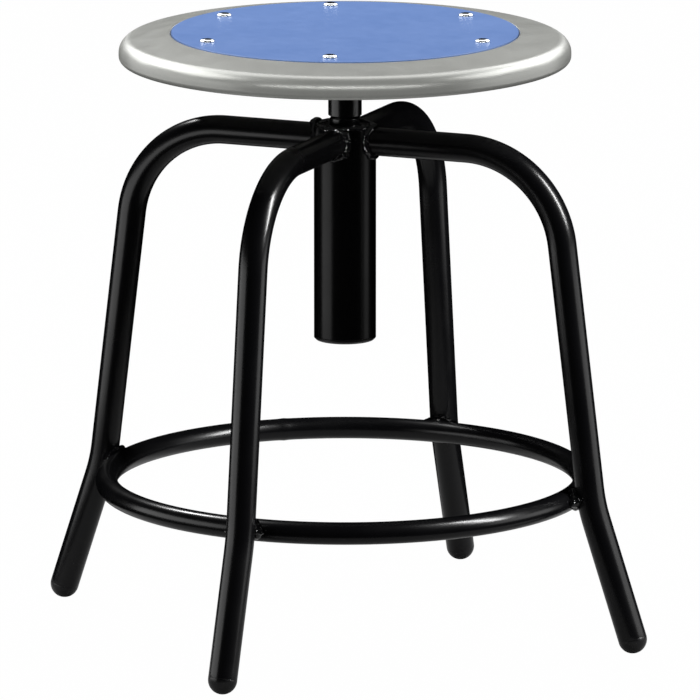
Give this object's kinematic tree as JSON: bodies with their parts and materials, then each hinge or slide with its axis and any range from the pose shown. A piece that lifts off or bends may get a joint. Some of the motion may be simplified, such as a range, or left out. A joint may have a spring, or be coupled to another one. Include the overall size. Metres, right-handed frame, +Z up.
{
  "type": "machinist stool",
  "caption": "Backless shop stool with a round riveted metal seat that turns on a screw spindle to rise, on a bent tube frame with a foot ring.",
  "frame": {"origin": "on the floor, on the seat's axis, with the glides' flats at z 0 and the seat at its lowest", "axes": "+Z up along the screw's axis, with the legs along +X, +Y, -X and -Y"},
  "size_m": [0.5014, 0.5014, 0.4713],
  "materials": {
    "black_coat": "glossy black powder coat",
    "nut_steel": "black coat over a machined steel nut",
    "glide_plastic": "hard black rubber",
    "cap_plastic": "moulded black plastic",
    "bush_nylon": "natural nylon",
    "screw_steel": "plain turned steel, oiled",
    "plate_grey": "silver-grey paint",
    "pan_grey": "silver-grey metallic paint",
    "disc_blue": "smooth blue hard sheet with a soft sheen",
    "rivet_chrome": "bright plated domed heads"
  },
  "bodies": {
    "base": {"leg_right": "black_coat", "leg_back": "black_coat", "leg_left": "black_coat", "leg_front": "black_coat", "foot_glides": "glide_plastic", "foot_ring": "black_coat", "ring_welds": "black_coat", "housing_tube": "black_coat", "hub_welds": "black_coat", "spindle_nut": "nut_steel", "housing_end_cap": "cap_plastic"},
    "guide": {"guide_bush": "bush_nylon"},
    "seat": {"spindle": "screw_steel", "stop_washer": "screw_steel", "stop_bolt": "screw_steel", "spindle_collar": "black_coat", "seat_plate": "plate_grey", "seat_pan": "pan_grey", "seat_disc": "disc_blue", "disc_rivets": "rivet_chrome"}
  },
  "joints": [
    {"name": "seat_rise", "type": "slide", "parent": "base", "child": "guide", "axis": [0, 0, 1], "range_m": [0, 0.127]},
    {"name": "seat_turn", "type": "hinge", "parent": "guide", "child": "seat", "pos_m": [0, 0, 0], "axis": [0, 0, 1], "range_deg": [0, 7200]}
  ],
  "couplings": [
    {"joint": "seat_rise", "follows": "seat_turn", "m_per_rad": 0.0010106}
  ]
}
